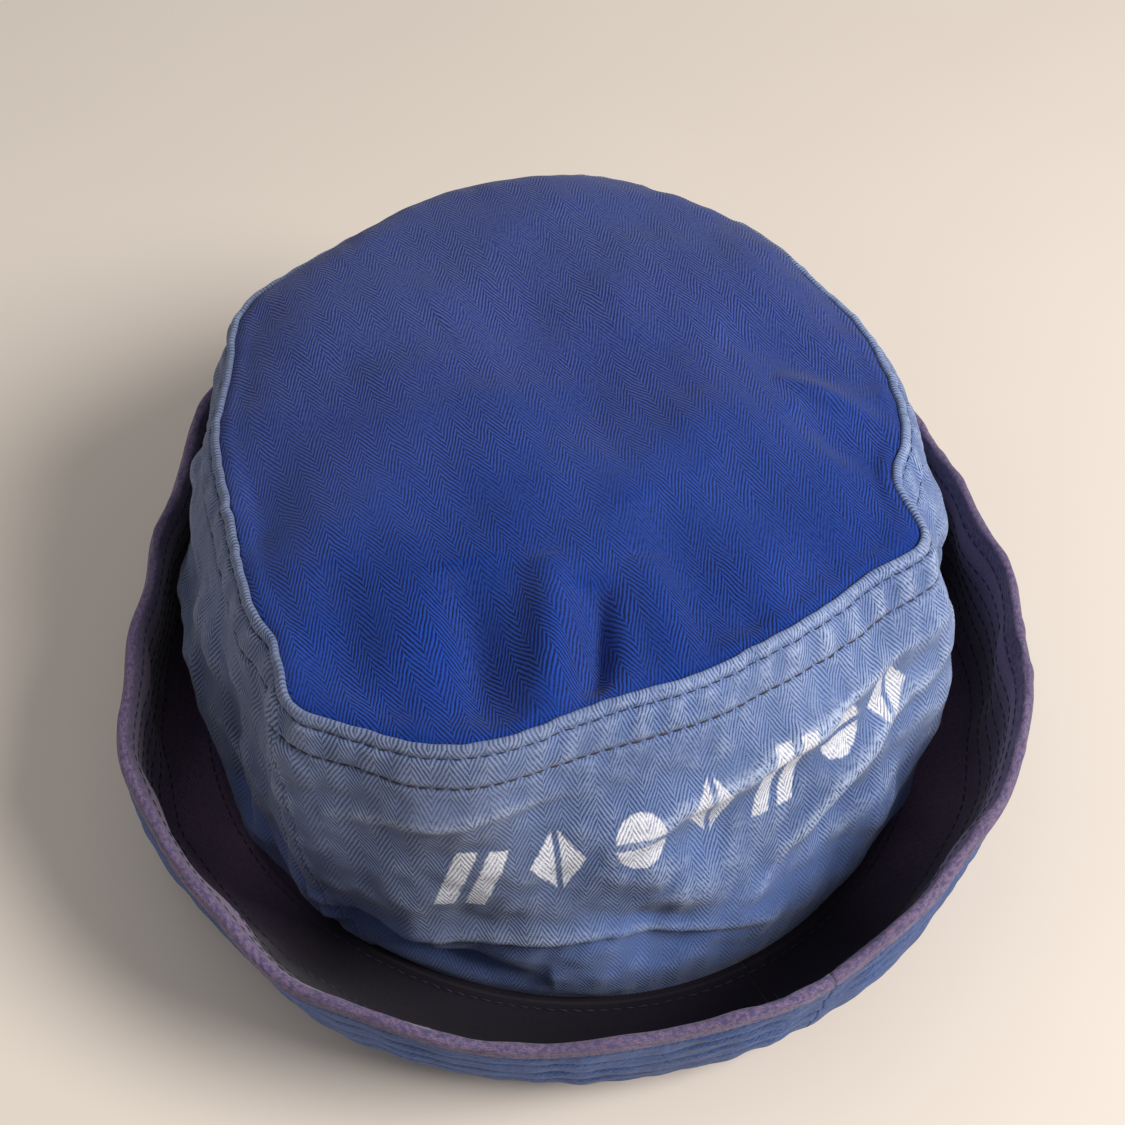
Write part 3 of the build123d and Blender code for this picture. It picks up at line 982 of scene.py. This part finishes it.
def make_crown(thread, brown_thread, blue_thread):
    """The side in two panels, the top, and the rows of stitches on them."""
    side, side_n, cloth, worn = crown_side_surface()
    height = SIDE_T * SIDE_HEIGHT
    drop = SIDE_HEIGHT - height
    hem = 1 / (1 + np.exp((drop - 10.0) / 0.4))
    side_in = side - side_n * (SIDE_CLOTH + 0.7 * hem)[None, :, None]
    wear = np.clip(worn + 0.10 + surface_curve(side) * 0.12, 0, 1)
    paint = woven(SIDE_BLUE, stencil_paint_and_left_shade)
    for half, columns in (("front", run(180, 360)), ("back", run(0, 180))):
        node = f"crown_side_{half}"
        cloth_piece(node, side, side_in, cloth, wear, paint, columns)
    make_top(*crown_top_surface(side))

    def row_at(distance):
        return np.interp(SIDE_HEIGHT - distance, height, np.arange(len(height)))

    sew("crown_edge_stitching", [ring_path(side, side_n, row_at(EDGE_ROW_DROP))], thread, 0.17, 2)
    sew("crown_lower_stitching", [ring_path(side, side_n, row_at(LOWER_ROW_DROP))], brown_thread, 0.23, 3)
    for name, seam, way in SIDE_SEAMS:
        column = (seam + way * math.degrees(SEAM_ROW_GAP / SEAM_RADIUS)) / 360.0 * COLUMNS
        rows = np.linspace(3.0, row_at(LOWER_ROW_DROP + 1.0), 80)
        path = sample_row(side, side_n, np.full(len(rows), column), rows)
        sew(f"side_seam_stitching_{name}", [path], blue_thread, 0.16, 4)


def make_top(top, normals, cloth):
    """The top panel: a closed sheet with a fan at its middle."""
    top_in = top - normals * TOP_CLOTH
    edge = rim_points(top[:, -1], top_in[:, -1], np.array([0, 0, -1.0]))
    section = np.concatenate([top, edge, top_in[:, ::-1]], 1)
    columns, rows = section.shape[:2]
    extra = edge.shape[1]
    wear = np.clip(0.30 + surface_curve(top) * 0.10, 0, 1)
    cloth_all, wear_all = wrap_field(cloth, extra)[:, :-extra], wrap_field(wear, extra)[:, :-extra]
    middle_out, middle_in = section[:, 0].mean(0), section[:, -1].mean(0)
    vertices = np.concatenate([section.reshape(-1, 3), [middle_out, middle_in]])
    faces = fan_faces(columns, rows)
    for last in range(rows - 1, columns * rows, rows):
        faces.append((last, (last + rows) % (columns * rows), columns * rows + 1))
    flat_cloth = np.concatenate([cloth_all.reshape(-1, 3), [middle_out * (1, 1, 0), middle_in * (1, 1, 0)]])
    fields = {"cloth": flat_cloth, "wear": np.append(wear_all.ravel(), [0.2, 0.2])}
    piece = build_mesh("crown_top_cloth", vertices, faces, fields, woven(TOP_BLUE, top_fading))
    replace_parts(piece, "crown_top")


def make_brim(thread):
    """The brim's three plies in halves, its rolled edge and its rows of stitches."""
    base, normals, away, up = brim_shape()
    puff, groove = ridge_rows(away)
    cloth = cloth_place(PRINT_ARC, away)
    buckle = 0.16 * ripple(DEG, 65, 40, 90)[:, None] * puff
    buckle = buckle + 0.10 * soft_field(PRINT_ARC, away * 2.2, 62, 9.0)
    tuck_in = hill(away, 2.2, 0.9)
    outer = base + normals * (0.75 * puff - 0.35 * groove + buckle * up - 0.55 * tuck_in)[..., None]
    outer[..., 2] = np.maximum(outer[..., 2], 0.0)
    folds = 0.9 * ripple(DEG, 63, 10, 26)[:, None] + 0.35 * soft_field(PRINT_ARC, away * 0.5, 64, 16.0)
    folds = (np.clip(folds, -0.2, 3.0) + 0.2) * up * np.clip(away / 9, 0, 1)
    foot_gap = np.hypot(base[..., 0], base[..., 1]) - foot_radius(DEG)[:, None]
    lip = 0.9 * hill(foot_gap, 1.9, 0.9)
    inner = base - normals * (BRIM_THICK + folds + lip + 0.3 * puff * up)[..., None]
    outer_n, inner_n = grid_normals(outer), -grid_normals(inner)

    # the upper ply turns over the edge and is sewn down outside the under ply
    welt = 1.25 + 0.22 * ripple(DEG, 66, 30, 70)
    way = unit(base[:, -1] - base[:, -5])
    out_way = normals[:, -1]
    centre = base[:, -1] - out_way * (BRIM_THICK / 2 - 0.2) + way * 0.2
    turned = []
    for turn in np.radians(np.linspace(-20, 200, 15)):
        spoke = -out_way * math.cos(turn) + way * math.sin(turn)
        turned.append(centre + spoke * welt[:, None])
    tail = []
    for down, stand in ((0.9, 0.75), (1.4, 0.6), (1.8, 0.3), (2.1, -0.3)):
        rows = rows_at(away, down)
        at, at_n = sample_row(base, normals, np.arange(COLUMNS, dtype=float), rows)
        tail.append(at + at_n * stand)
    keep = away[0] > 2.4
    upper_face = np.concatenate([inner[:, keep], np.stack(turned, 1), np.stack(tail, 1)], 1)
    upper_back = upper_face + grid_normals(upper_face) * BRIM_CLOTH * 0.6
    steps = length_so_far(upper_face)
    upper_cloth = cloth_place(PRINT_ARC, -steps)
    kept = int(keep.sum())
    upper_wear = np.zeros_like(steps)
    upper_wear[:, kept - 4 : kept + len(turned) + 3] = 1.0
    upper_wear[:, :kept] = np.maximum(upper_wear[:, :kept], 0.5 * np.clip(lip[:, keep] / 0.7, 0, 1))
    shown = away[0] > 1.3
    under_in = outer - outer_n * BRIM_CLOTH * 0.75
    under_wear = np.clip(0.25 + surface_curve(outer) * 0.14, 0, 1)
    core_out, core_in = base - normals * 0.95, base - normals * 1.55
    rows = np.where((away[0] > 4.5) & (np.arange(away.shape[1]) > 1))[0]
    # the upper ply's material carries painted shade down in the front ditch
    upper_paint, under_paint, core_paint = woven(BRIM_UPPER, painted_ditch_shade), woven(BRIM_UNDER), woven(CANVAS)
    halves = {"left": run(BRIM_SEAM + 180, BRIM_SEAM + 360), "right": run(BRIM_SEAM + 360, BRIM_SEAM + 540)}
    for half, columns in halves.items():
        cloth_piece(f"brim_upper_{half}", upper_face, upper_back, upper_cloth, upper_wear, upper_paint,
                    columns, flip=True)
        cloth_piece(f"brim_under_{half}", outer[:, shown], under_in[:, shown], cloth[:, shown],
                    under_wear[:, shown], under_paint, columns)
        cloth_piece(f"brim_interlining_{half}", core_out[:, rows], core_in[:, rows], cloth[:, rows],
                    0 * away[:, rows], core_paint, columns, kind="canvas")
    make_brim_stitches(outer, outer_n, inner, inner_n, away, thread)


def make_brim_stitches(outer, outer_n, inner, inner_n, away, thread):
    """The brim's rows on both faces, the rows beside its seams and the row round the crown's foot."""
    for number in range(BRIM_ROWS):
        row = rows_at(away, BRIM_EDGE_ROW + number * BRIM_ROW_STEP)
        place = BRIM_ROWS - number
        node = f"brim_row_stitching_{place}" if number else "brim_edge_stitching"
        name = f"brim_row_{place}_stitches" if number else "brim_edge_stitches"
        paths = [ring_path(outer, outer_n, row), ring_path(inner, inner_n, row)]
        sew(node, paths, thread, BRIM_THREAD, 10 + number, name)
    for name, seam in (("front", BRIM_SEAM), ("back", BRIM_SEAM + 180)):
        paths = []
        for side in (-2.5, 2.5):
            column = (seam + math.degrees(side / BRIM_RADIUS)) / 360.0 * COLUMNS
            rows = np.linspace(SOLE_ROWS + 8, SOLE_ROWS + SLANT_ROWS - 12, 60)
            paths.append(sample_row(inner, inner_n, np.full(len(rows), column), rows))
        sew(f"brim_seam_stitching_{name}", paths, thread, BRIM_THREAD, 30)
    reach = np.hypot(inner[..., 0], inner[..., 1])
    wanted = foot_radius(DEG) + 2.9
    rows = np.array([np.interp(w, r, np.arange(len(r))) for w, r in zip(wanted, reach)])
    sew("brim_join_stitching", [ring_path(inner, inner_n, rows)], thread, BRIM_THREAD, 31)


TAPE_HEAD, TAPE_FOOT = 3.0, 13.0  # the crown seam tape's edges, below the seam
TAPE_HALF_WIDTH = 6.0


def lining_surface():
    """The inside of the side without its puckers, where the sweatband and tapes lie, and its inward way."""
    points = crown_side_points()
    theta = side_angle(SIDE_T[None, :])
    inward = -polar(1.0, theta, 0.0)
    rise = side_creases(theta)[0]
    return points + inward * (SIDE_CLOTH + 0.9 - 1.15 * np.minimum(rise, 0.0))[..., None], inward


def make_inside(thread):
    """Sweatband, seam tapes and the sweatband's stitches, all lying on the inside of the side."""
    height = SIDE_T * SIDE_HEIGHT
    lining, inward = lining_surface()
    arc = np.radians(DEG)[:, None] * SIDE_GIRTH
    rows = np.where(height + FOOT_Z < SWEATBAND_TOP)[0]
    ease = 0.35 * (1 + ripple(DEG, 71, 8, 20))[:, None] * (height[rows] / SWEATBAND_TOP)[None, :]
    outer = lining[:, rows] + inward[:, rows] * np.clip(ease, 0, 2)[..., None]
    foot = outer[:, :1] * np.array([1, 1, 0]) + np.array([0, 0, 0.5])
    outer = np.concatenate([foot, outer], 1)
    inner = outer + np.concatenate([inward[:, :1], inward[:, rows]], 1) * 0.9
    z = outer[..., 2]
    whole = run(90, 450)
    cloth_piece("sweatband", outer, inner, cloth_place(arc, z), 0 * z, woven(BAND_CLOTH),
                whole)
    sew("sweatband_stitching", [ring_path(inner, -grid_normals(inner), 4.0)], thread, 0.2, 40)

    tape_paint = woven(TAPE_CLOTH)
    cloth = cloth_place(arc, height[None, :])

    def tape(node, rows, columns, depth):
        back = (lining + inward * depth)[:, rows]
        face = (lining + inward * (depth + 0.5))[:, rows]
        wear = 0 * cloth[:, rows, 0]
        cloth_piece(node, back, face, cloth[:, rows], wear, tape_paint, columns)

    top_rows = np.where((height > SIDE_HEIGHT - TAPE_FOOT) & (height < SIDE_HEIGHT - TAPE_HEAD))[0]
    tape("crown_seam_tape", top_rows, whole, 2.3)
    seam_rows = np.where((height > SWEATBAND_TOP + 0.5) & (height < SIDE_HEIGHT - TAPE_FOOT - 0.2))[0]
    half = math.degrees(TAPE_HALF_WIDTH / SEAM_RADIUS)
    for name, seam in (("left", 180), ("right", 360)):
        tape(f"side_seam_tape_{name}", seam_rows, run(seam - half, seam + half), 0.3)


def make_hat():
    """Every piece of the hat."""
    navy = thread_material("navy_thread", (14, 16, 34), (44, 46, 70))
    brown = thread_material("brown_thread", (24, 20, 26), (62, 52, 58))
    faded = thread_material("faded_blue_thread", (44, 58, 98), (92, 108, 150))
    make_crown(navy, brown, faded)
    make_brim(navy)
    make_inside(navy)


# ---- camera, floor and light

CAMERA_AZIMUTH = -45.0
CAMERA_ELEVATION = 48.3
CAMERA_ROLL = -1.0
CAMERA_DISTANCE = 0.4659
CAMERA_TARGET = Vector((-0.0043, -0.0057, 0.0579))


def camera_axes():
    """The camera's right, up and backward ways."""
    a, e, r = (math.radians(v) for v in (CAMERA_AZIMUTH, CAMERA_ELEVATION, CAMERA_ROLL))
    back = Vector((math.sin(a) * math.cos(e), -math.cos(a) * math.cos(e), math.sin(e)))
    right = Vector((math.cos(a), math.sin(a), 0.0))
    up = back.cross(right)
    return right * math.cos(r) + up * math.sin(r), up * math.cos(r) - right * math.sin(r), back


def make_camera():
    right, up, back = camera_axes()
    data = bpy.data.cameras.new("camera")
    data.sensor_width = 36.0
    data.lens = 60.8
    data.clip_start = 0.01
    camera = put_in_scene("camera", data)
    place = Matrix((right, up, back)).transposed().to_4x4()
    place.translation = CAMERA_TARGET + back * CAMERA_DISTANCE
    camera.matrix_world = place
    bpy.context.scene.camera = camera


LIT_POINT = Vector((0, 0, 0.05))


def make_light(name, place, size, power, colour):
    data = bpy.data.lights.new(name, "AREA")
    data.shape = "DISK"
    data.size = size
    data.energy = power
    data.color = colour
    light = put_in_scene(name, data)
    light.location = place
    light.rotation_euler = (LIT_POINT - place).to_track_quat("-Z", "Y").to_euler()


def make_stage():
    half = 3.0
    corners = [(-half, -half, 0), (half, -half, 0), (half, half, 0), (-half, half, 0)]
    mesh = bpy.data.meshes.new("floor")
    mesh.from_pydata(corners, [], [(0, 1, 2, 3)])
    nodes = Nodes("pale_floor")
    spot = nodes.add("ShaderNodeTexCoord").outputs["Object"]
    tone = nodes.noise(spot, 6.0, 3.0, 0.5)
    colour = nodes.mix(tone, srgb(212, 202, 192), srgb(220, 210, 200))
    nodes.surface(Base_Color=colour, Roughness=0.95, Specular_IOR_Level=0.1)
    mesh.materials.append(nodes.material)
    put_in_scene("floor", mesh)


def make_lights():
    a = math.radians(CAMERA_AZIMUTH)
    right, near = Vector((math.cos(a), math.sin(a), 0)), Vector((math.sin(a), -math.cos(a), 0))
    up = Vector((0, 0, 1))
    make_light("key", right * 0.90 + near * 0.42 + up * 0.92, 0.65, 22.5, (1.0, 0.97, 0.93))
    make_light("fill", right * -0.6 + near * 0.1 + up * 1.2, 1.2, 2.0, (0.96, 0.97, 1.0))
    world = bpy.data.worlds.new("world")
    world.use_nodes = True
    colour, strength = world.node_tree.nodes["Background"].inputs[:2]
    colour.default_value = (0.95, 0.93, 0.91, 1)
    strength.default_value = 0.36
    bpy.context.scene.world = world
    bpy.context.scene.view_settings.view_transform = "Standard"


make_hat()
make_camera()
make_stage()
make_lights()
